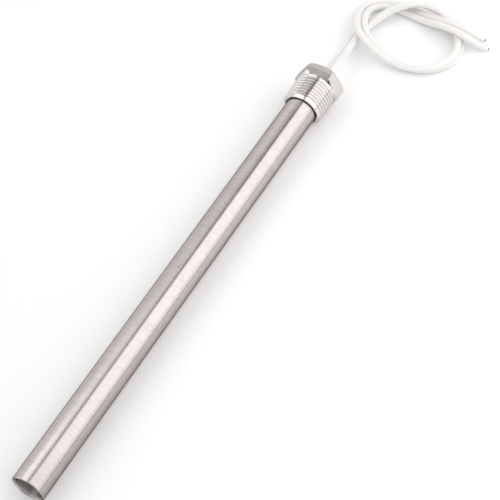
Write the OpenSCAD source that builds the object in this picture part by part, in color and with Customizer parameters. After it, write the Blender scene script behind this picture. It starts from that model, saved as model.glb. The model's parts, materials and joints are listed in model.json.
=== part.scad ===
// Screw-in cartridge heater in millimetres, lying as it comes to rest: one flat of its
// hexagon and the rim of its free end touch the surface. Each piece is drawn along the
// heater's own axis, with the free end at station 0, and lay() puts it down. +X then runs
// from the free end towards the leads, and +Z is up.

/* [Sheath] */
// Outside diameter of the sheath tube
sheath_d = 16; // [14:0.5:20]
// Wall of the sheath tube
sheath_wall = 1; // [0.8:0.1:1.4]
// Length of the sheath from its free end to the fitting
sheath_show = 233; // [150:1:300]
// Depth of the open recess at the free end
end_recess = 5; // [3:0.5:10]
// Chamfer on the outer edge of the free end
rim_chamfer = 0.3; // [0.1:0.05:0.4]
// Chamfer on the inner edge of the free end
mouth_chamfer = 0.45; // [0.2:0.05:0.6]

/* [Closed end] */
// Thickness of the end disc
end_disc_t = 2; // [1:0.5:4]
// Leg of the weld bead around the end disc
end_weld_leg = 0.8; // [0.4:0.1:1.5]
// Thickness of the washer between the end disc and the winding
end_washer_t = 3; // [1.5:0.5:6]

/* [Winding] */
// Thickness of the packed powder between the winding and the sheath
powder_t = 1.4; // [1:0.1:1.6]
// Length of the stretch without winding, next to the fitting
cold_len = 25; // [22:1:40]
// Diameter of the resistance wire
wire_d = 0.3; // [0.2:0.05:0.5]
// Pitch of the winding
wire_pitch = 4.4; // [3.5:0.1:8]
// Diameter of the two pins
pin_d = 2; // [1.6:0.1:2.4]
// Thickness of the ceramic cap on the cores
cap_t = 6; // [3:0.5:8]

/* [Lead joints] */
// Wall of a crimp around its pin
crimp_wall = 0.55; // [0.4:0.05:0.7]
// Length of a crimp
crimp_len = 12; // [8:0.5:14]
// Wall of the glass sleeve over a crimp
glass_wall = 0.3; // [0.2:0.05:0.5]
// Length of the sealing compound at the exit of the leads
seal_len = 12; // [6:0.5:16]
// Depth of the seal's outer face below the end of the sheath
seal_recess = 1; // [0.5:0.1:3]

/* [Fitting] */
// Depth of the step turned on the sheath, where the fitting sits on it
step_depth = 0.2; // [0.16:0.02:0.4]
// Length of that step in front of the fitting
step_lead = 0.12; // [0.1:0.02:0.5]
// Length of the taper thread, from the mouth to the hexagon
thread_len = 15; // [12:0.5:22]
// Width of the flat front lip of the fitting
front_lip = 0.6; // [0.4:0.1:1.2]
// Height of the lead-in cone in front of the thread
lead_in = 1; // [0.6:0.1:1.6]
// Gap around the sheath in the mouth of the fitting
relief_gap = 0.6; // [0.3:0.1:1]
// Depth of that gap
relief_depth = 3; // [1:0.5:8]
// Step from the thick end of the thread out to the flats
hex_shoulder = 0.23; // [0.1:0.01:2]
// Thickness of the hexagon
hex_h = 7.3; // [5:0.1:12]
// Axial length of the chamfer at the corners of the hexagon
hex_chamfer = 1.45; // [0.5:0.05:2]
// Leg of the weld between sheath and fitting
fitting_weld_leg = 1; // [0.5:0.1:1.5]

/* [Leads] */
// Diameter of a lead
lead_d = 3.6; // [3:0.1:4]
// Space between the two leads
lead_gap = 0.24; // [0.2:0.02:0.6]
// Diameter of the strands in a lead
strand_d = 1.4; // [1:0.1:1.8]
// Bare strands at the cut end of a lead
strand_bare = 0.8; // [0.4:0.1:3]
// Length by which the second lead is cut shorter
lead_step = 3; // [1:0.5:4]

/* [Hidden] */
$fn = 64;

// Clearance between two pieces that seat on each other
seat = 0.03;
// Overshoot of a cutting tool past the face that it cuts
past = 1;
// Overshoot of the chamfering cone past the corners of the hexagon
corner_past = 0.1;
// Taper of a pipe thread, change of diameter over length
thread_taper = 1 / 16;
// Axial length of the lead-in cone against its height
lead_in_slope = 1.6;
// Width of the chamfer on the end faces of the hexagon, at the middle of a flat
chamfer_inset = 0.3;
// Steps in one turn of the winding, and sides of its wire
turn_steps = 10;
wire_sides = 4;
// Sides of a lead
lead_sides = 8;
// Roll of the pair of leads at its exit: 0 is side by side, minus tips the first one down
pair_roll = -33;
// Ceramic cores in the stack
core_count = 6;

// Sheath and fitting
sheath_r = sheath_d / 2;
bore_r = sheath_r - sheath_wall;
step_r = sheath_r - step_depth;
step_s = sheath_show - step_lead;
inner_r = bore_r - seat;
hex_front = sheath_show + thread_len;
back_s = hex_front + hex_h;
relief_r = sheath_r + relief_gap;
lip_r = relief_r + front_lip;
thread_r = lip_r + lead_in;
thread_r_end = thread_r + thread_len * thread_taper / 2;
hex_af = 2 * (thread_r_end + hex_shoulder);
hex_r = hex_af / sqrt(3);
hex_face_r = hex_af / 2 - chamfer_inset;
chamfer_slope = hex_chamfer / (hex_r - hex_face_r);
cone_r = hex_r + corner_past;
cone_len = (cone_r - hex_face_r) * chamfer_slope;

// Rest on the rim of the free end and the front edge of the bottom flat
flat_front = hex_front + chamfer_inset * chamfer_slope;
rest_angle = atan((hex_af / 2 - sheath_r) / (flat_front - rim_chamfer));
rim_r = sheath_r - rim_chamfer;
mouth_r = min(bore_r + mouth_chamfer, rim_r - seat);
lay_x = -(back_s * cos(rest_angle) + (hex_face_r - rim_r) * sin(rest_angle)) / 2;
lay_z = sheath_r * cos(rest_angle) - rim_chamfer * sin(rest_angle);

// Stack inside the sheath
disc_s = end_recess;
washer_s = disc_s + end_disc_t + seat;
core_s = washer_s + end_washer_t + seat;
core_top = sheath_show - cold_len;
core_pitch = (core_top - core_s) / core_count;
cap_s = core_top + seat;
crimp_s = cap_s + cap_t + seat;
crimp_end = crimp_s + crimp_len;
seal_end = back_s - seal_recess;
seal_s = seal_end - seal_len;

// Crimps, sleeves and the spacing that pins and leads share
pin_r = pin_d / 2;
crimp_r = pin_r + crimp_wall;
glass_r = crimp_r + seat + glass_wall;
strand_r = strand_d / 2;
lead_r = lead_d / 2;
pair_spacing = 2 * max(lead_r, glass_r) + lead_gap;

// Winding
wire_r = wire_d / 2;
coil_out = inner_r - powder_t - seat;
coil_r = coil_out - wire_r;
core_r = coil_r * cos(180 / turn_steps) - wire_r - seat;
slot_w = 3 * wire_d;
slot_depth = 3 * wire_d;
coil_s = core_s + slot_depth / 2;
coil_end = core_top - slot_depth / 2;
coil_turns = floor((coil_end - coil_s) / wire_pitch) + 0.5;
tail_r = pair_spacing / 2 + pin_r + wire_r + seat;

// Route of the pair of leads past its straight exit: x from the exit, y and height of its middle, and roll
exit_run = 7;
route = [
    [18.4, 0.4, 9.2, -33], [27.4, 1.4, 6.9, -35], [36.4, 2.2, 4.6, -37], [45.4, 1.8, 3.4, -39],
    [52.9, -0.4, 3.6, -42], [60.4, -4.6, 5.8, -44], [66.4, -10, 7.8, -45], [71.8, -16, 7.8, -47],
    [75, -23, 6, -50], [75.4, -31, 4, -50], [71, -39.4, 3.4, -50], [62.9, -45.2, 3.5, -56],
    [54.4, -48, 3.7, -70], [46.4, -46.6, 3.9, -92], [39.4, -42, 3.8, -112], [35.2, -34.6, 3.5, -125],
    [33.4, -26, 3.5, -135], [33.8, -17, 5.2, -146], [35.8, -8.6, 8, -154], [40, -1.2, 9.6, -160],
    [47.4, 3.6, 8.6, -168], [55.8, 6, 6.2, -178], [62.8, 5.2, 4.2, -184], [68, 0.6, 3, -185],
    [70.2, -7, 2.4, -184], [70, -16, 2.2, -182], [67.8, -26, 4.8, -180], [65.4, -34.6, 8.6, -180],
    [64.4, -42, 9.9, -178], [65, -48.6, 8, -175], [66.4, -54.2, 4.8, -170], [68, -59.2, 2.6, -164]
];

// Place of a station on the heater's axis, once the heater lies on the surface
function on_axis(s) = [lay_x + s * cos(rest_angle), 0, lay_z + s * sin(rest_angle)];

function unit(v) = v / norm(v);
function tangent(path, i) = unit(path[min(i + 1, len(path) - 1)] - path[max(i - 1, 0)]);

// Middle of the pair, its roll at each point, and one lead beside it: side is 1 or -1
pair_path = concat(
    [for (s = [crimp_end, back_s, back_s + exit_run]) on_axis(s)],
    [for (p = route) [on_axis(back_s)[0] + p[0], p[1], p[2]]]
);
pair_rolls = concat([pair_roll, pair_roll, pair_roll], [for (p = route) p[3]]);
function beside(i, side) =
    let (
        along = tangent(pair_path, i),
        left = unit(cross([0, 0, 1], along)),
        up = cross(along, left)
    )
    pair_path[i] + side * pair_spacing / 2 * (cos(pair_rolls[i]) * left + sin(pair_rolls[i]) * up);

// Path of a lead, with its last point drawn back by cut
function lead_path(side, cut) =
    let (
        full = [for (i = [0 : len(pair_path) - 1]) beside(i, side)],
        last = len(full) - 1
    )
    [for (i = [0 : last]) i < last ? full[i] : full[i] - cut * unit(full[i] - full[i - 1])];

// Corners of the section of a swept tube at point i of its path
function section(path, i, r, sides, ref) =
    let (
        along = tangent(path, i),
        across = unit(cross(along, ref)),
        up = cross(across, along)
    )
    [for (k = [0 : sides - 1]) path[i] + r * (cos(360 * k / sides) * across + sin(360 * k / sides) * up)];

// Tube swept along a path: ref is a direction that the path never takes
module sweep(path, r, sides, ref) {
    rings = len(path);
    points = [for (i = [0 : rings - 1]) each section(path, i, r, sides, ref)];
    walls = [
        for (i = [0 : rings - 2], k = [0 : sides - 1])
            let (a = i * sides + k, b = i * sides + (k + 1) % sides)
            each [[a, b, b + sides], [a, b + sides, a + sides]]
    ];
    start_cap = [[for (k = [sides - 1 : -1 : 0]) k]];
    end_cap = [[for (k = [0 : sides - 1]) (rings - 1) * sides + k]];
    polyhedron(points, concat(walls, start_cap, end_cap));
}

// Puts a piece that was drawn along its axis down on the surface
module lay() {
    translate([lay_x, 0, lay_z]) rotate([0, 90 - rest_angle, 0]) children();
}

// Solid rod from one station to another
module rod(from, to, r) {
    translate([0, 0, from]) cylinder(h = to - from, r = r);
}

// Tube from one station to another
module tube(from, to, outer, inner) {
    difference() {
        rod(from, to, outer);
        rod(from - past, to + past, inner);
    }
}

// Places a piece on the line of the first or second pin: side is 1 or -1
module at_pin(side) {
    rotate([0, 0, 90 + pair_roll]) translate([side * pair_spacing / 2, 0, 0]) children();
}

// Holes of radius r along both pin lines
module pin_holes(from, to, r) {
    for (side = [1, -1]) at_pin(side) rod(from - past, to + past, r);
}

// Drawn steel tube, open at both ends, turned down by a step where the fitting sits on it
module sheath_tube() {
    color("silver") lay() rotate_extrude() polygon([
        [bore_r, mouth_r - bore_r], [mouth_r, 0], [rim_r, 0], [sheath_r, rim_chamfer], [sheath_r, step_s],
        [step_r - seat, step_s], [step_r - seat, back_s], [bore_r, back_s]
    ]);
}

// Steel disc that closes the free end, set back from the rim
module end_disc() {
    color("darkgray") lay() rod(disc_s, disc_s + end_disc_t, inner_r);
}

// Bead of weld in the corner between the end disc and the tube
module end_weld() {
    bead_s = disc_s - seat;
    color("dimgray") lay() rotate_extrude() polygon([
        [inner_r, bead_s], [inner_r - end_weld_leg, bead_s], [inner_r, bead_s - end_weld_leg]
    ]);
}

// Mica washer that keeps the winding off the end disc
module end_washer() {
    color("tan") lay() rod(washer_s, washer_s + end_washer_t, inner_r);
}

// One ceramic core: two holes for the pins, and a slot across each end for the wire's tails
module core(index) {
    from = core_s + (index - 1) * core_pitch;
    to = from + core_pitch - seat;
    color("ivory") lay() difference() {
        rod(from, to, core_r);
        pin_holes(from, to, pin_r + seat);
        for (end = [from, to]) rotate([0, 0, 90 + pair_roll])
            translate([0, 0, end]) cube([3 * core_r, slot_w, 2 * slot_depth], center = true);
    }
}

// Resistance wire: a helix on the cores, with a straight tail in to a pin at each end
module heating_coil() {
    steps = coil_turns * turn_steps;
    rise = coil_end - coil_s;
    function turn_point(r, k) =
        let (angle = 90 + pair_roll + 360 * k / turn_steps)
        [r * cos(angle), r * sin(angle), coil_s + rise * k / steps];
    path = concat([turn_point(tail_r, 0)], [for (k = [0 : steps]) turn_point(coil_r, k)],
        [turn_point(tail_r, steps)]);
    color("dimgray") lay() sweep(path, wire_r, wire_sides, [0, 0, 1]);
}

// Pin that runs through all the cores, to the far end of the winding
module pin_long() {
    color("gray") lay() at_pin(1) rod(core_s, crimp_s + crimp_len / 2, pin_r);
}

// Pin that ends in the last core, at the near end of the winding
module pin_short() {
    color("gray") lay() at_pin(-1) rod(core_top - core_pitch, crimp_s + crimp_len / 2, pin_r);
}

// Magnesia powder, packed hard between the winding and the sheath
module magnesia_fill() {
    color("whitesmoke") lay() tube(core_s, core_top - seat, inner_r, coil_out + seat);
}

// Ceramic cap that closes the stack of cores
module ceramic_cap() {
    color("ivory") lay() difference() {
        rod(cap_s, cap_s + cap_t, inner_r);
        pin_holes(cap_s, cap_s + cap_t, pin_r + seat);
    }
}

// Crimp barrel: the pin goes in from below, the strands of the lead from above
module crimp(side) {
    middle = crimp_s + crimp_len / 2;
    color("darkgray") lay() at_pin(side) difference() {
        rod(crimp_s, crimp_end, crimp_r);
        rod(crimp_s - past, middle + seat, pin_r + seat);
        rod(middle, crimp_end + past, strand_r + seat);
    }
}

// Glass sleeve over a crimp
module crimp_sleeve(side) {
    color("white") lay() at_pin(side) tube(crimp_s, crimp_end, glass_r, crimp_r + seat);
}

// Sealing compound around the leads, in the end of the sheath
module potting_seal() {
    color("linen") lay() difference() {
        rod(seal_s, seal_end, inner_r);
        pin_holes(seal_s, seal_end, lead_r + seat);
    }
}

// Turned fitting: taper thread, hexagon with chamfered corners, gap in the mouth, groove for the weld
module hex_fitting() {
    color("silver") lay() difference() {
        union() {
            rotate_extrude() polygon([
                [0, sheath_show], [lip_r, sheath_show], [thread_r, sheath_show + lead_in * lead_in_slope],
                [thread_r_end, hex_front], [thread_r_end, back_s - hex_h / 2], [0, back_s - hex_h / 2]
            ]);
            intersection() {
                translate([0, 0, hex_front]) rotate([0, 0, 30]) cylinder(h = hex_h, r = hex_r, $fn = 6);
                rotate_extrude() polygon([
                    [0, hex_front], [hex_face_r, hex_front], [cone_r, hex_front + cone_len],
                    [cone_r, back_s - cone_len], [hex_face_r, back_s], [0, back_s]
                ]);
            }
        }
        rod(sheath_show - past, back_s + past, step_r);
        rod(sheath_show - past, sheath_show + relief_depth, relief_r);
        translate([0, 0, back_s - fitting_weld_leg])
            cylinder(h = fitting_weld_leg + past, r1 = step_r, r2 = step_r + fitting_weld_leg + past);
    }
}

// Weld that fills the groove between sheath and fitting at the back of the hexagon
module fitting_weld() {
    color("dimgray") lay() rotate_extrude() polygon([
        [step_r, back_s - fitting_weld_leg + 2 * seat],
        [step_r, back_s], [step_r + fitting_weld_leg - 2 * seat, back_s]
    ]);
}

// Insulated lead, from its crimp out through the seal and along the route
module lead(side, cut) {
    color("ivory") sweep(lead_path(side, cut), lead_r, lead_sides, [0, 0, 1]);
}

// Bare strands of a lead: in the crimp, and past the insulation at the cut end
module lead_strands(side, cut) {
    path = lead_path(side, cut);
    last = len(path) - 1;
    along = unit(path[last] - path[last - 1]);
    color("saddlebrown") {
        lay() at_pin(side) rod(crimp_s + crimp_len / 2 + 2 * seat, crimp_end, strand_r);
        translate(path[last]) rotate([0, acos(along[2]), atan2(along[1], along[0])])
            cylinder(h = strand_bare, r = strand_r);
    }
}

sheath_tube();
end_disc();
end_weld();
end_washer();
core(1);  // core_1
core(2);  // core_2
core(3);  // core_3
core(4);  // core_4
core(5);  // core_5
core(6);  // core_6
heating_coil();
pin_long();
pin_short();
magnesia_fill();
ceramic_cap();
crimp(1);  // crimp_1
crimp(-1);  // crimp_2
crimp_sleeve(1);  // crimp_sleeve_1
crimp_sleeve(-1);  // crimp_sleeve_2
potting_seal();
hex_fitting();
fitting_weld();
lead(1, 0);  // lead_1
lead(-1, lead_step);  // lead_2
lead_strands(1, 0);  // lead_strands_1
lead_strands(-1, lead_step);  // lead_strands_2
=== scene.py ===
import json
from math import cos, floor, pi, radians, sin

import bpy
from mathutils import Matrix, Vector


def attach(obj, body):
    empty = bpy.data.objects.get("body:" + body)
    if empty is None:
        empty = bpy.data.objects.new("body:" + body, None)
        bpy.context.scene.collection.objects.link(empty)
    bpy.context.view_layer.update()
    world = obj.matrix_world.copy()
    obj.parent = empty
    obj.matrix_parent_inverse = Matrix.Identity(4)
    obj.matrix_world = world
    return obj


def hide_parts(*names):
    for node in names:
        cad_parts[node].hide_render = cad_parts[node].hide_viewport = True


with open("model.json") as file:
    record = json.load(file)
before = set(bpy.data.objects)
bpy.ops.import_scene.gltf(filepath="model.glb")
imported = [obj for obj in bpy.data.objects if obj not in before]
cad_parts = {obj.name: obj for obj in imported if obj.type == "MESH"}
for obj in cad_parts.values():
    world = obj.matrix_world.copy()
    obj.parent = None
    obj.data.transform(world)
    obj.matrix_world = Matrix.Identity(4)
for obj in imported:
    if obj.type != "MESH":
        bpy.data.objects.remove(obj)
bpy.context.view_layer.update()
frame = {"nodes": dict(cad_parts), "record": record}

# The sheath is a drawn stainless tube, centreless ground to a bright finish, so fine rings run around it.
# Its free end is cut square with a small chamfer. The other end is turned down where the fitting sits.
# It lies with its free end a little lower than the fitting, and the record's mount gives its axis.
mm = 0.001
sheath_r = 8.0
bore_r = 7.0
step_r = 7.77
step_s = 232.88
back_s = 255.3
rim_chamfer = 0.3
mouth_chamfer = 0.45
back_chamfer = 0.1
edge = 0.03
round_sides = 192
black = (0, 0, 0)
steel = (0.77, 0.703, 0.68)
# the brown that the painted shade on the -Y side of the tube goes to
painted_shade_brown = (0.1, 0.08, 0.07)
pit_dark = (0.12, 0.11, 0.1)
# the bore's colour at its mouth, and the painted shade that it darkens to deeper in
bore_mouth, bore_painted_shade = (0.52, 0.496, 0.487), (0.3, 0.28, 0.274)

mount = next(m for m in frame["record"]["mounts"] if m["name"] == "sheath")
along = -Vector(mount["axis"]).normalized()
free_end = Vector(mount["pos_m"]) - along * (mount["dims"]["length_mm"] / 2 + rim_chamfer) * mm
down = Vector((0, 1, 0)).cross(along)
lay = Matrix.Translation(free_end) @ Matrix((down, (0, 1, 0), along)).transposed().to_4x4()


def piece(name, points, faces, place=Matrix(), crease=32):
    """A mesh piece from points in millimetres, smooth but for its edges, fixed to the heater."""
    data = bpy.data.meshes.new(name)
    data.from_pydata([Vector(p) * mm for p in points], [], faces)
    data.shade_smooth()
    data.set_sharp_from_angle(angle=radians(crease))
    made = bpy.data.objects.new(name, data)
    bpy.context.collection.objects.link(made)
    made.matrix_world = place
    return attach(made, "root")


def turned(name, outline, sides, own_axis=False):
    """A piece turned on the heater's axis: outline(angle) is its closed outline of (radius, station).
    With own_axis its local Z is that axis, for a finish that runs around it."""
    rings = [outline(2 * pi * k / sides) for k in range(sides)]
    rows = len(rings[0])
    points = [
        (r * cos(2 * pi * k / sides), r * sin(2 * pi * k / sides), s)
        for k, ring in enumerate(rings) for r, s in ring
    ]
    faces = []
    for k in range(sides):
        here, beside = k * rows, (k + 1) % sides * rows
        for i in range(rows):
            after = (i + 1) % rows
            faces.append((here + i, beside + i, beside + after, here + after))
    if own_axis:
        return piece(name, points, faces, lay)
    return piece(name, [lay @ (Vector(p) * mm) / mm for p in points], faces)


class Feed:
    """The output of a shader node. Arithmetic on it adds Math nodes."""

    def __init__(self, tree, socket=None):
        self.tree = tree
        self.socket = socket

    def node(self, kind, sockets=None, out=0, **settings):
        """Any other node: its settings first, then a value or a link for each socket."""
        made = self.tree.nodes.new("ShaderNode" + kind)
        for name, value in settings.items():
            setattr(made, name, value)
        for key, value in (sockets or {}).items():
            if isinstance(value, Feed):
                self.tree.links.new(value.socket, made.inputs[key])
            else:
                made.inputs[key].default_value = value
        return Feed(self.tree, made.outputs[out])

    def math(self, operation, *others):
        return self.node("Math", dict(enumerate((self, *others))), operation=operation)

    def vector(self, operation, other, out=0):
        return self.node("VectorMath", {0: self, 1: other}, out, operation=operation)

    def band(self, low, high):
        """0 below low and 1 above high, with a soft step between."""
        sockets = {"Value": self, "From Min": low, "From Max": high}
        return self.node("MapRange", sockets, interpolation_type="SMOOTHSTEP")

    def between(self, first, second):
        """A colour that goes from first at 0 to second at 1."""
        colours = [c if isinstance(c, Feed) else (*c, 1) for c in (first, second)]
        return self.node("Mix", {0: self, 6: colours[0], 7: colours[1]}, 2, data_type="RGBA")

    def noise(self, scale, detail=2, rough=0.5):
        return self.node("TexNoise", {"Vector": self, "Scale": scale, "Detail": detail, "Roughness": rough})

    def bump(self, height, strength):
        """The surface normal over relief, which is this feed in millimetres times height."""
        return self.node("Bump", {"Height": self * (height * mm), "Strength": strength, "Distance": 1})

    def into(self, socket):
        self.tree.links.new(self.socket, socket)

    def __add__(self, other):
        return self.math("ADD", other)

    def __sub__(self, other):
        return self.math("SUBTRACT", other)

    def __rsub__(self, other):
        return self.math("MULTIPLY_ADD", -1, other)

    def __mul__(self, other):
        return self.math("MULTIPLY", other)

    __radd__ = __add__
    __rmul__ = __mul__


def new_finish(name, **uniform):
    """A material, its surface in millimetres of the piece it is on, and its shader's sockets."""
    material = bpy.data.materials.new(name)
    material.use_nodes = True
    shader = material.node_tree.nodes["Principled BSDF"].inputs
    for socket, value in uniform.items():
        shader[socket.replace("_", " ")].default_value = value
    surface = Feed(material.node_tree).node("TexCoord", out="Object").vector("MULTIPLY", (1 / mm,) * 3)
    return material, surface, shader


def dress(obj, material):
    """Gives a piece or a CAD node its material."""
    obj.data.materials.clear()
    obj.data.materials.append(material)


mouth_r = bore_r + mouth_chamfer
rim_r = sheath_r - rim_chamfer
sheath_outline = [
    (bore_r, mouth_chamfer + edge), (bore_r + edge, mouth_chamfer - edge),
    (mouth_r - edge, edge), (mouth_r + edge, 0), (rim_r - edge, 0), (rim_r + edge, edge),
    (sheath_r - edge, rim_chamfer - edge), (sheath_r, rim_chamfer + edge),
    (sheath_r, step_s - edge), (sheath_r - edge, step_s), (step_r, step_s),
    (step_r, back_s - back_chamfer), (step_r - back_chamfer, back_s), (bore_r, back_s),
]
sheath = turned("sheath", lambda angle: sheath_outline, round_sides, own_axis=True)
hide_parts("sheath_tube")

ground, surface, shader = new_finish(
    "ground_steel", Specular_Tint=(0.2, 0.19, 0.18, 1), Anisotropic=0.75, Anisotropic_Rotation=0.25
)
rings = surface.vector("MULTIPLY", (0.03, 0.03, 1.0))
fine = rings.noise(2.2, 4, 0.65)
coarse = rings.noise(0.16, 3, 0.6)
streaks = surface.vector("MULTIPLY", (0.2, 0.2, 1)).noise(1.5, 3, 0.65)
cloud = surface.noise(0.16, 3)
shade = 0.5 + fine * 0.2 + streaks * 0.2 + coarse * 0.1 + cloud * 0.12
# three small pits along the top of the tube, each with its station, its degrees around and its size
pit_marks = ((121.3, 176.1, 0.42), (123.1, 179.1, 0.3), (161.7, 177.0, 0.36))
pits = 1.0
for s, angle, size in pit_marks:
    at = (sheath_r * cos(radians(angle)), sheath_r * sin(radians(angle)), s)
    pits = surface.vector("DISTANCE", at, "Value").band(size * 0.5, size) * pits
# a painted shade: the side toward -Y is darker and browner than the rest, most at the free end
station = surface.vector("DOT_PRODUCT", (0, 0, 1), "Value")
painted_shade_side = surface.vector("DOT_PRODUCT", (0, -1 / sheath_r, 0), "Value").band(0.64, 0.98)
painted_shade = painted_shade_side * (0.34 - station * 0.0009)
outside = pits.between(pit_dark, painted_shade.between(shade.between(black, steel), painted_shade_brown))
# the bore is left as drawn, so it is duller than the ground outside. Below its deburred mouth its colour
# darkens to a painted shade, deeper in the bore
off_axis = surface.vector("MULTIPLY", (1, 1, 0)).vector("LENGTH", (0, 0, 0), "Value")
bore = 1 - off_axis.band(bore_r + edge, bore_r + 0.1)
bore_shade_depth = station.band(0.7, 1.7)
bore.between(outside, bore_shade_depth.between(bore_mouth, bore_painted_shade)).into(shader["Base Color"])
(0.15 + fine * 0.12 + cloud * 0.08 + (1 - pits) * 0.3 + bore * 0.1).into(shader["Roughness"])
(1 - bore * (0.7 - bore_shade_depth * 0.6)).into(shader["Metallic"])
fine.bump(0.004, 0.5).into(shader["Normal"])
dress(sheath, ground)

# A steel disc closes the free end. It is turned flat and pressed in below the rim.
# A bead of weld runs around it in the corner. Heat has left the disc dark, and the weld duller than the tube.
disc_s = 5.0
disc_r = 6.97
disc_dark, disc_light = (0.15, 0.138, 0.132), (0.3, 0.28, 0.27)
bead_leg = 0.8
face_gap = 0.03
bead_ripples = 34
ripple_sides = 8
weld_bright, weld_brown = (0.52, 0.49, 0.47), (0.27, 0.235, 0.21)

satin, surface, shader = new_finish("turned_disc", Metallic=1)
from_axis = surface.vector("SUBTRACT", tuple(free_end / mm))
spoke = from_axis.vector("CROSS_PRODUCT", tuple(along)).vector("LENGTH", (0, 0, 0), "Value")
lathe_marks = spoke.node("TexNoise", {"W": spoke, "Scale": 5, "Detail": 3}, noise_dimensions="1D")
smudge = surface.noise(0.5, 3)
(smudge * 0.6 + lathe_marks * 0.4).between(disc_dark, disc_light).into(shader["Base Color"])
(0.3 + smudge * 0.25).into(shader["Roughness"])
lathe_marks.bump(0.01, 0.6).into(shader["Normal"])
dress(frame["nodes"]["end_disc"], satin)


def bead_outline(angle):
    """A weld bead with ripples: it sits in the corner, a little hollow between its two toes."""
    ripple = 0.5 + 0.5 * sin(bead_ripples * angle + 0.8 * sin(3 * angle))
    toe = bead_leg * (0.86 + 0.08 * ripple)
    near_toe = toe * 0.72
    middle = 0.44 * toe + 0.05 * ripple
    face_s = disc_s - face_gap
    return [
        (disc_r, face_s), (disc_r, face_s - toe), (disc_r - middle * 0.5, face_s - near_toe),
        (disc_r - middle, face_s - middle),
        (disc_r - near_toe, face_s - middle * 0.5), (disc_r - toe, face_s),
    ]


end_bead = turned("end_bead", bead_outline, bead_ripples * ripple_sides)
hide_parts("end_weld")

weld_metal, surface, shader = new_finish("weld_metal", Metallic=1)
scale_film = surface.noise(1.1, 4, 0.6)
scale_film.band(0.3, 0.72).between(weld_bright, weld_brown).into(shader["Base Color"])
(0.28 + scale_film * 0.3).into(shader["Roughness"])
surface.noise(3.5, 3).bump(0.03, 0.6).into(shader["Normal"])
dress(end_bead, weld_metal)

# Inside the sheath lie a mica washer and six ceramic cores. The resistance wire is wound on the cores.
# Two pins run up through the cores. Magnesia powder is packed hard around the winding, under a ceramic cap.
core_count = 6
mica_dark, mica_light = (0.48, 0.39, 0.27), (0.72, 0.63, 0.48)
ceramic_dark, ceramic_light = (0.8, 0.76, 0.67), (0.94, 0.92, 0.86)
powder_dark, powder_light = (0.84, 0.83, 0.79), (0.97, 0.96, 0.93)
oxide_dark, oxide_light = (0.24, 0.22, 0.21), (0.46, 0.42, 0.38)
pin_dark, pin_light = (0.56, 0.53, 0.49), (0.72, 0.69, 0.65)

mica, surface, shader = new_finish("mica", Roughness=0.45, Coat_Weight=0.2)
cells = surface.node("TexVoronoi", {"Vector": surface, "Scale": 0.9}, "Color")
flakes = cells.vector("DOT_PRODUCT", (0.4, 0.3, 0.3), "Value")
(flakes * 0.7 + surface.noise(2, 3) * 0.3).between(mica_dark, mica_light).into(shader["Base Color"])
dress(frame["nodes"]["end_washer"], mica)

ceramic, surface, shader = new_finish("fired_ceramic", Roughness=0.7)
grain = surface.noise(6, 4, 0.65)
patches = surface.noise(0.25, 2)
(grain * 0.6 + patches * 0.4).between(ceramic_dark, ceramic_light).into(shader["Base Color"])
grain.bump(0.02, 0.5).into(shader["Normal"])
for number in range(1, core_count + 1):
    dress(frame["nodes"][f"core_{number}"], ceramic)
dress(frame["nodes"]["ceramic_cap"], ceramic)

powder, surface, shader = new_finish("packed_powder", Roughness=0.95)
crumbs = surface.noise(9, 5, 0.7)
crumbs.between(powder_dark, powder_light).into(shader["Base Color"])
crumbs.bump(0.05, 0.8).into(shader["Normal"])
dress(frame["nodes"]["magnesia_fill"], powder)

oxide, surface, shader = new_finish("oxidised_wire", Metallic=1)
film = surface.noise(1.6, 3)
film.between(oxide_dark, oxide_light).into(shader["Base Color"])
(0.35 + film * 0.25).into(shader["Roughness"])
dress(frame["nodes"]["heating_coil"], oxide)

drawn, surface, shader = new_finish("drawn_pin", Metallic=1)
draw_lines = surface.vector("MULTIPLY", (0.05, 1, 1)).noise(7, 3)
draw_lines.between(pin_dark, pin_light).into(shader["Base Color"])
(0.22 + draw_lines * 0.2).into(shader["Roughness"])
dress(frame["nodes"]["pin_long"], drawn)
dress(frame["nodes"]["pin_short"], drawn)

# Each pin is joined to its lead by a plated crimp barrel, squeezed tight.
# A short sleeve of braided glass slides over the crimp and keeps it off the sheath.
plate_dull, plate_bright = (0.58, 0.56, 0.52), (0.76, 0.74, 0.7)
sleeve_dark, sleeve_light = (0.78, 0.77, 0.73), (0.93, 0.92, 0.89)

plated, surface, shader = new_finish("plated_crimp", Metallic=1)
dulling = surface.noise(1.3, 3)
dulling.between(plate_dull, plate_bright).into(shader["Base Color"])
(0.2 + dulling * 0.25).into(shader["Roughness"])
glass, surface, shader = new_finish("glass_sleeve", Roughness=0.65)
threads = surface.vector("MULTIPLY", (1, 3, 3)).noise(2.5, 2)
threads.between(sleeve_dark, sleeve_light).into(shader["Base Color"])
threads.bump(0.06, 0.7).into(shader["Normal"])
for number in (1, 2):
    dress(frame["nodes"][f"crimp_{number}"], plated)
    dress(frame["nodes"][f"crimp_sleeve_{number}"], glass)

# The fitting is turned from hexagon bar: a taper pipe thread of 14 to the inch, and a hexagon to turn it by.
# Its mouth is bored wider than the sheath, a lead-in cone runs up to the first ridge, and the thread runs out
# into a smooth collar. The hexagon is chamfered on both ends, and a shade darker than the thread.
mouth_s = 233.0
relief_r, relief_s = 8.6, 236.0
fitting_bore_r = 7.8
lip_r = 9.2
lip_edge = 0.1
lead_in_r, lead_in_s = 10.2, 234.6
collar_r = 10.669
thread_pitch = 1.814
thread_depth = 1.0
root_flat, crest_flat = 0.08, 0.2
straight_flank = 0.6
first_cut_s, full_cut_s = 234.25, 234.6
runout_s, collar_s = 246.5, 247.6
hex_front = 248.0
hex_flat_r = 10.899
hex_face_r = 10.599
hex_edge = 0.06
corner_r = 12.56
chamfer_slope = 0.73
break_r, break_s = 0.96, 0.94
flat_crown = 0.09
groove_leg = 1.0
thread_rows = 280
flat_rows = 10
fitting_sides = 216
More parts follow.
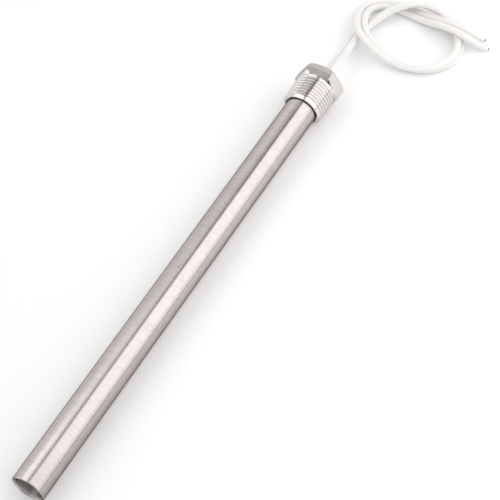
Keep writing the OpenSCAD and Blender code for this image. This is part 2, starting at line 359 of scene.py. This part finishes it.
fitting_steel = (0.79, 0.75, 0.73)


def soft_step(x):
    """0 below 0 and 1 above 1, with a soft step between."""
    x = min(max(x, 0.0), 1.0)
    return x * x * (3 - 2 * x)


def thread_r(angle, s):
    """Radius of the threaded cone: a right-hand V thread, its flanks eased into narrow crests and roots."""
    crest = lead_in_r + (collar_r - lead_in_r) * (s - lead_in_s) / (hex_front - lead_in_s)
    turn = (s - mouth_s) / thread_pitch - angle / (2 * pi)
    flank = abs(2 * (turn - floor(turn)) - 1)
    flank = min(max((flank - root_flat) / (1 - root_flat - crest_flat), 0.0), 1.0)
    flank = straight_flank * flank + (1 - straight_flank) * soft_step(flank)
    cut = thread_depth * soft_step((s - first_cut_s) / (full_cut_s - first_cut_s))
    cut *= 1 - soft_step((s - runout_s) / (collar_s - runout_s))
    cone = lip_r + (s - mouth_s) * (lead_in_r - lip_r) / (lead_in_s - mouth_s)
    return min(crest - cut * (1 - flank), cone)


def fitting_outline(angle):
    """From the bore out through the mouth, up the thread, over the hexagon and back to the weld groove."""
    to_flat = (angle + pi / 6) % (pi / 3) - pi / 6
    flat_r = min(hex_flat_r / cos(to_flat), corner_r)
    rise = (flat_r - hex_face_r) * chamfer_slope
    start_s = hex_front + (collar_r - hex_face_r) * chamfer_slope
    first, last = hex_front + rise + hex_edge, back_s - rise - hex_edge
    flat = []
    for k in range(flat_rows + 1):
        x = 2 * k / flat_rows - 1
        flat.append((flat_r - flat_crown * x * x, first + (last - first) * k / flat_rows))
    front_s = mouth_s + lip_edge
    ridge = [front_s + (start_s - front_s) * k / thread_rows for k in range(thread_rows)]
    end_r = flat_r - flat_crown
    return [
        (fitting_bore_r, relief_s), (relief_r, relief_s), (relief_r, front_s),
        (relief_r + lip_edge, mouth_s), (lip_r - lip_edge / 2, mouth_s),
        *((thread_r(angle, s), s) for s in ridge), (collar_r, start_s),
        (collar_r + (end_r - collar_r) * break_r, start_s + (hex_front + rise - start_s) * break_s),
        *flat, (hex_face_r + (end_r - hex_face_r) * break_r, back_s - rise * break_s),
        (hex_face_r, back_s), (fitting_bore_r + groove_leg, back_s), (fitting_bore_r, back_s - groove_leg),
    ]


fitting = turned("fitting", fitting_outline, fitting_sides)
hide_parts("hex_fitting")

bright, surface, shader = new_finish("turned_steel", Metallic=1, Specular_Tint=(0.4, 0.39, 0.38, 1))
tool_lines = surface.vector("MULTIPLY", (1, 0.03, 0.03)).noise(4, 3, 0.6)
haze = surface.noise(0.3, 3)
station = surface.vector("SUBTRACT", tuple(free_end / mm)).vector("DOT_PRODUCT", tuple(along), "Value")
hexagon = station.band(hex_front, hex_front + 0.5)
tone = 0.86 + tool_lines * 0.1 + haze * 0.14 - hexagon * 0.14
tone.between(black, fitting_steel).into(shader["Base Color"])
(0.06 + haze * 0.06 + tool_lines * 0.04).into(shader["Roughness"])
tool_lines.bump(0.004, 0.4).into(shader["Normal"])
dress(fitting, bright)

# A ring of weld fills the groove between the sheath and the fitting at the back of the hexagon.
# It is laid in one pass, so its ripples follow each other around, and it is left as welded.
groove_ripples = 46
groove_gap = 0.06


def groove_outline(angle):
    """The weld fills the groove's corner and sinks a little below its two edges."""
    ripple = 0.5 + 0.5 * sin(groove_ripples * angle + 0.9 * sin(4 * angle))
    leg = groove_leg - groove_gap
    sink = 0.1 + 0.08 * ripple
    return [
        (fitting_bore_r, back_s - leg), (fitting_bore_r + leg, back_s),
        (fitting_bore_r + leg * 0.7, back_s - sink * 0.6), (fitting_bore_r + leg * 0.4, back_s - sink),
        (fitting_bore_r, back_s - sink * 0.7),
    ]


groove_weld = turned("groove_weld", groove_outline, groove_ripples * ripple_sides)
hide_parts("fitting_weld")
dress(groove_weld, weld_metal)

# Sealing compound is cast around the two leads in the end of the sheath, a little below its rim.
# It is a cream silicone with a dull skin, and it has taken a few specks of dust.
seal_dark, seal_light = (0.78, 0.74, 0.66), (0.88, 0.85, 0.78)
dust = (0.5, 0.45, 0.38)

cast, surface, shader = new_finish("cast_seal", Roughness=0.6)
skin = surface.noise(1.2, 3)
specks = surface.noise(14, 1).band(0.68, 0.76)
specks.between(skin.between(seal_dark, seal_light), dust).into(shader["Base Color"])
skin.bump(0.15, 0.6).into(shader["Normal"])
dress(frame["nodes"]["potting_seal"], cast)

# The two leads are stranded wire under a white braid of varnished glass. They leave the seal side by side,
# and lie beside the heater in a loose knot: around in a loop, over and under, and out to their cut ends.
# The braid is limp, so a lead is laid as a smooth curve through the points of its route.
lead_d = 3.6
pair_spacing = 4.0
pair_roll = -33
crimp_end = 226.06
seal_end = 254.3
exit_run = 7
lead_step = 3
lead_sides = 24
curve_step = 1.2
inside_rounding, outside_rounding = 0.05, 0.15
cap_share = 0.3
carriers = 8
braid_pitch = 4.2
# the painted shade in the hollows of the weave
braid_hollow_shade = (0.8, 0.775, 0.76)
yarn_dark, yarn_light = (0.9, 0.885, 0.87), (0.935, 0.92, 0.905)
# x from the back of the heater, y and height of the middle of the pair, and its roll
route = [
    (18.4, 0.4, 9.2, -33), (27.4, 1.4, 6.9, -35), (36.4, 2.2, 4.6, -37), (45.4, 1.8, 3.4, -39),
    (52.9, -0.4, 3.6, -42), (60.4, -4.6, 5.8, -44), (66.4, -10, 7.8, -45), (71.8, -16, 7.8, -47),
    (75, -23, 6, -50), (75.4, -31, 4, -50), (71, -39.4, 3.4, -50), (62.9, -45.2, 3.5, -56),
    (54.4, -48, 3.7, -70), (46.4, -46.6, 3.9, -92), (39.4, -42, 3.8, -112), (35.2, -34.6, 3.5, -125),
    (33.4, -26, 3.5, -135), (33.8, -17, 5.2, -146), (35.8, -8.6, 8, -154), (40, -1.2, 9.6, -160),
    (47.4, 3.6, 8.6, -168), (55.8, 6, 6.2, -178), (62.8, 5.2, 4.2, -184), (68, 0.6, 3, -185),
    (70.2, -7, 2.4, -184), (70, -16, 2.2, -182), (67.8, -26, 4.8, -180), (65.4, -34.6, 8.6, -180),
    (64.4, -42, 9.9, -178), (65, -48.6, 8, -175), (66.4, -54.2, 4.8, -170), (68, -59.2, 2.6, -164),
]


def on_axis(s):
    """The point of the heater's axis at a station, in millimetres."""
    return free_end / mm + along * s


pair = [(on_axis(s), pair_roll) for s in (crimp_end, seal_end, back_s + exit_run)]
pair += [(Vector((on_axis(back_s).x + x, y, z)), roll) for x, y, z, roll in route]


def lead_knots(side, cut):
    """The points of one lead beside the middle of the pair. Its last one is drawn back by cut."""
    found = []
    for i, (middle, roll) in enumerate(pair):
        ahead = (pair[min(i + 1, len(pair) - 1)][0] - pair[max(i - 1, 0)][0]).normalized()
        left = Vector((0, 0, 1)).cross(ahead).normalized()
        up = ahead.cross(left)
        found.append(middle + side * pair_spacing / 2 * (cos(radians(roll)) * left + sin(radians(roll)) * up))
    found[-1] -= cut * (found[-1] - found[-2]).normalized()
    return found


def smooth_curve(knots, step):
    """Points about a step apart on the smooth curve that passes through the knots."""
    ends = [2 * knots[0] - knots[1], *knots, 2 * knots[-1] - knots[-2]]
    found = []
    for a, b, c, d in zip(ends, ends[1:], ends[2:], ends[3:]):
        count = max(2, round((c - b).length / step))
        bend = 2 * a - 5 * b + 4 * c - d
        swing = 3 * b - 3 * c + d - a
        for k in range(count):
            t = k / count
            found.append(0.5 * (2 * b + (c - a) * t + bend * t**2 + swing * t**3))
    return [*found, knots[-1]]


def hose(name, path, r, sides, rounding):
    """A tube along a path, with closed ends and a UV map: turns around it, and millimetres along it."""
    points, faces, marks = [], [], []
    ahead = (path[1] - path[0]).normalized()
    side = ahead.cross(Vector((0, 0, 1))).normalized()
    run = [0.0]
    for a, b in zip(path, path[1:]):
        run.append(run[-1] + (b - a).length)
    rings = [(path[0], r * cap_share, 0.0), (path[0], r - rounding, 0.0)]
    rings += [(p, r, d) for p, d in zip(path, run)]
    rings += [(path[-1], r - rounding, run[-1]), (path[-1], r * cap_share, run[-1])]
    for i, (p, ring_r, d) in enumerate(rings):
        before = rings[max(i - 2, 0)][0]
        after = rings[min(i + 2, len(rings) - 1)][0]
        ahead = (after - before).normalized()
        side = (side - ahead * side.dot(ahead)).normalized()
        over = ahead.cross(side)
        if i == 2:
            p = p + ahead * rounding
        if i == len(rings) - 3:
            p = p - ahead * rounding
        for k in range(sides):
            turn = 2 * pi * k / sides
            points.append(p + ring_r * (cos(turn) * side + sin(turn) * over))
    for i in range(len(rings) - 1):
        here, beyond = rings[i][2], rings[i + 1][2]
        for k in range(sides):
            a, b = i * sides + k, i * sides + (k + 1) % sides
            faces.append((a, b, b + sides, a + sides))
            turn, next_turn = k / sides, (k + 1) / sides
            marks += [(turn, here), (next_turn, here), (next_turn, beyond), (turn, beyond)]
    last = (len(rings) - 1) * sides
    faces += [tuple(reversed(range(sides))), tuple(range(last, last + sides))]
    marks += [(0, 0)] * sides + [(0, run[-1])] * sides
    made = piece(name, points, faces, crease=50)
    layer = made.data.uv_layers.new(name="braid")
    for loop, mark in zip(layer.data, marks):
        loop.uv = mark
    return made


braid, surface, shader = new_finish(
    "glass_braid", Sheen_Weight=0.15, Sheen_Roughness=0.5, Coat_Roughness=0.4, Specular_IOR_Level=0.4
)
unrolled = surface.node("UVMap", uv_map="braid")
around = unrolled.vector("DOT_PRODUCT", (1, 0, 0), "Value")
down_lead = unrolled.vector("DOT_PRODUCT", (0, 1, 0), "Value")
turns = down_lead * (carriers / braid_pitch / 2)
right_hand = ((around * carriers + turns) * (2 * pi)).math("COSINE")
left_hand = ((around * carriers - turns) * (2 * pi)).math("COSINE")
weave = right_hand.math("MAXIMUM", left_hand)
weave.bump(0.07, 0.8).into(shader["Normal"])
handled = surface.noise(0.12, 3)
yarn = handled.band(0.3, 0.7).between(yarn_dark, yarn_light)
# the hollows between the yarns are a painted shade
weave.band(-0.3, 0.7).between(braid_hollow_shade, yarn).into(shader["Base Color"])
(0.5 + handled * 0.2).into(shader["Roughness"])
(handled.band(0.4, 0.7) * 0.15).into(shader["Coat Weight"])

# The strands are nineteen fine wires of plated copper, twisted together, cut flush, and dark.
# They end in the crimp inside the heater, and just past the braid at the cut end.
strand_bare = 0.8
crimp_middle = 220.15
wire_d = 0.27
wire_sides = 8
wire_twist = 12
strand_dark, strand_light = (0.1, 0.085, 0.075), (0.24, 0.2, 0.17)
# radius of each ring of wires, how many it has, and the degrees at which its first one lies
wire_rings = ((0, 1, 0), (0.29, 6, 0), (0.56, 12, 15))

cut_wire, surface, shader = new_finish("cut_strands", Metallic=1)
strand_mottle = surface.noise(3, 3)
strand_mottle.between(strand_dark, strand_light).into(shader["Base Color"])
(0.35 + strand_mottle * 0.25).into(shader["Roughness"])


def strand_bundle(name, stretches):
    """Nineteen wires, one in the middle and rings of six and twelve, along each stretch in turn."""
    points, faces = [], []
    spots = [(r, 360 / count * k + start) for r, count, start in wire_rings for k in range(count)]
    for first, last in stretches:
        ahead = (last - first).normalized()
        side = ahead.cross(Vector((0, 0, 1))).normalized()
        over = ahead.cross(side)
        for r, turn in spots:
            base = len(points)
            for end, twist in ((first, 0), (last, wire_twist)):
                spin = radians(turn + twist)
                middle = end + r * (cos(spin) * side + sin(spin) * over)
                for k in range(wire_sides):
                    at = 2 * pi * k / wire_sides
                    points.append(middle + wire_d / 2 * (cos(at) * side + sin(at) * over))
            for k in range(wire_sides):
                a, b = base + k, base + (k + 1) % wire_sides
                faces.append((a, b, b + wire_sides, a + wire_sides))
            far = base + wire_sides
            faces += [tuple(reversed(range(base, far))), tuple(range(far, far + wire_sides))]
    return piece(name, points, faces)


for number, side, cut in ((1, 1, 0), (2, -1, lead_step)):
    knots = lead_knots(side, cut)
    in_seal = [knots[0], (knots[0] + knots[1]) / 2, knots[1]]
    inside = hose(f"lead_{number}_inside", in_seal, lead_d / 2, lead_sides, inside_rounding)
    dress(inside, braid)
    path = smooth_curve(knots[1:], curve_step)
    outside = hose(f"lead_{number}_outside", path, lead_d / 2, lead_sides, outside_rounding)
    dress(outside, braid)
    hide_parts(f"lead_{number}")
    ahead = (path[-1] - path[-2]).normalized()
    pin_line = knots[1] - on_axis(seal_end)
    in_crimp = (on_axis(crimp_middle) + pin_line, on_axis(crimp_end) + pin_line)
    strands = strand_bundle(f"strands_{number}", [in_crimp, (path[-1], path[-1] + ahead * strand_bare)])
    dress(strands, cut_wire)
    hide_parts(f"lead_strands_{number}")
    length = sum((b - a).length for a, b in zip(path, path[1:])) * mm
    path[0] * mm
    [p * mm for p in path]

# The stage is white paper that lies flat under the heater, in a room of soft grey light. Six softboxes stand
# around it, right, low, left, side, top and edge, and a window gives a broad soft sun. A grey card hangs
# overhead, which the tube mirrors as its dark line, and a dark flag stands past the free end.
floor_half = 4.0
card_z = 0.61
card_outline = [
    (0.0, -0.01), (0.2, 0.01), (0.4, 0.35), (0.58, 0.36), (0.58, -0.07), (0.2, -0.055), (0.0, -0.045),
]
flag_x, flag_low, flag_high = -0.75, 0.001, 0.18
flag_right, flag_left = -0.5, 0.15
paper_dark, paper_light = (0.965, 0.965, 0.965), (0.98, 0.98, 0.98)
grey_dark, grey_light = (0.26, 0.25, 0.245), (0.33, 0.32, 0.315)
flag_dark, flag_light = (0.05, 0.05, 0.05), (0.08, 0.08, 0.08)
room_grey = (0.47, 0.47, 0.47, 1)


def sheet(name, corners, finish, seen):
    """A flat sheet of the stage. One that the camera doesn't see still shows in the bright steel."""
    data = bpy.data.meshes.new(name)
    data.from_pydata(corners, [], [tuple(range(len(corners)))])
    data.materials.append(finish)
    made = bpy.data.objects.new(name, data)
    bpy.context.collection.objects.link(made)
    made.visible_camera = seen


def felt(name, dark, light):
    """Felt has no shine, only a soft grain between two shades."""
    made, surface, shader = new_finish(name, Roughness=1, Specular_IOR_Level=0)
    surface.noise(0.5, 3).between(dark, light).into(shader["Base Color"])
    return made


def softbox(name, middle, facing, width, height, level):
    """A rectangular lamp, long along X, whose face shines at this level."""
    lamp = bpy.data.lights.new(name, "AREA")
    lamp.shape = "RECTANGLE"
    lamp.size = width
    lamp.size_y = height
    lamp.energy = level * pi * width * height
    made = bpy.data.objects.new(name, lamp)
    bpy.context.collection.objects.link(made)
    back = (Vector(middle) - Vector(facing)).normalized()
    across = Vector((1, 0, 0))
    across = (across - back * across.dot(back)).normalized()
    turn = Matrix((across, back.cross(across), back)).transposed().to_4x4()
    made.matrix_world = Matrix.Translation(middle) @ turn
    made.visible_camera = False


white_paper, surface, shader = new_finish("white_paper", Roughness=0.9, Specular_IOR_Level=0.1)
surface.noise(0.004, 2).between(paper_dark, paper_light).into(shader["Base Color"])
floor_signs = ((-1, -1), (1, -1), (1, 1), (-1, 1))
sheet("paper", [(x * floor_half, y * floor_half, 0) for x, y in floor_signs], white_paper, True)
sheet("grey_card", [(x, y, card_z) for x, y in card_outline], felt("grey_felt", grey_dark, grey_light), False)
flag_corners = [
    (flag_x, flag_right, flag_low), (flag_x, flag_left, flag_low),
    (flag_x, flag_left, flag_high), (flag_x, flag_right, flag_high),
]
sheet("dark_flag", flag_corners, felt("dark_felt", flag_dark, flag_light), False)

room = bpy.data.worlds.new("room")
bpy.context.scene.world = room
room.use_nodes = True
room.node_tree.nodes["Background"].inputs["Color"].default_value = room_grey
room.node_tree.nodes["Background"].inputs["Strength"].default_value = 1

softbox("right_softbox", (0.36, -0.28, 0.43), (0.36, 0, 0.01), 1.28, 0.56, 1.1)
softbox("low_softbox", (0.36, -0.48, 0.15), (0.36, 0, 0.01), 1.28, 0.2, 0.92)
softbox("left_softbox", (0.25, 0.383, 0.331), (0.25, 0, 0.01), 1.1, 0.84, 0.35)
softbox("side_softbox", (0.62, 0.4, 0.2), (0.62, 0, 0.01), 0.56, 0.4, 0.22)
softbox("top_softbox", (-0.25, 0.33, 0.45), (-0.25, 0, 0.01), 0.68, 0.72, 0.13)
softbox("edge_softbox", (-0.6, 0.85, 0.1), (0.12, 0, 0.02), 0.5, 0.3, 1.3)

sun = bpy.data.lights.new("window", "SUN")
sun.energy = 0.145 * pi
sun.angle = radians(46)
window = bpy.data.objects.new("window", sun)
bpy.context.collection.objects.link(window)
window.rotation_euler = Vector((-0.45, 0.5, 0.75)).to_track_quat("Z", "Y").to_euler()

# The camera looks down along the heater from above its free end, through a long lens.
# It is rolled a little to one side.
camera_place = Vector((-0.31652, -0.23505, 0.57794))
camera_aim = Vector((0.02746, -0.01632, 0))
camera_roll = -2.66
lens = bpy.data.cameras.new("lens")
lens.lens = 109.12
lens.sensor_width = 36
camera = bpy.data.objects.new("camera", lens)
bpy.context.collection.objects.link(camera)
look = (camera_aim - camera_place).to_track_quat("-Z", "Y").to_matrix().to_4x4()
camera.matrix_world = Matrix.Translation(camera_place) @ look @ Matrix.Rotation(radians(camera_roll), 4, "Z")
bpy.context.scene.camera = camera
bpy.context.scene.view_settings.view_transform = "Standard"
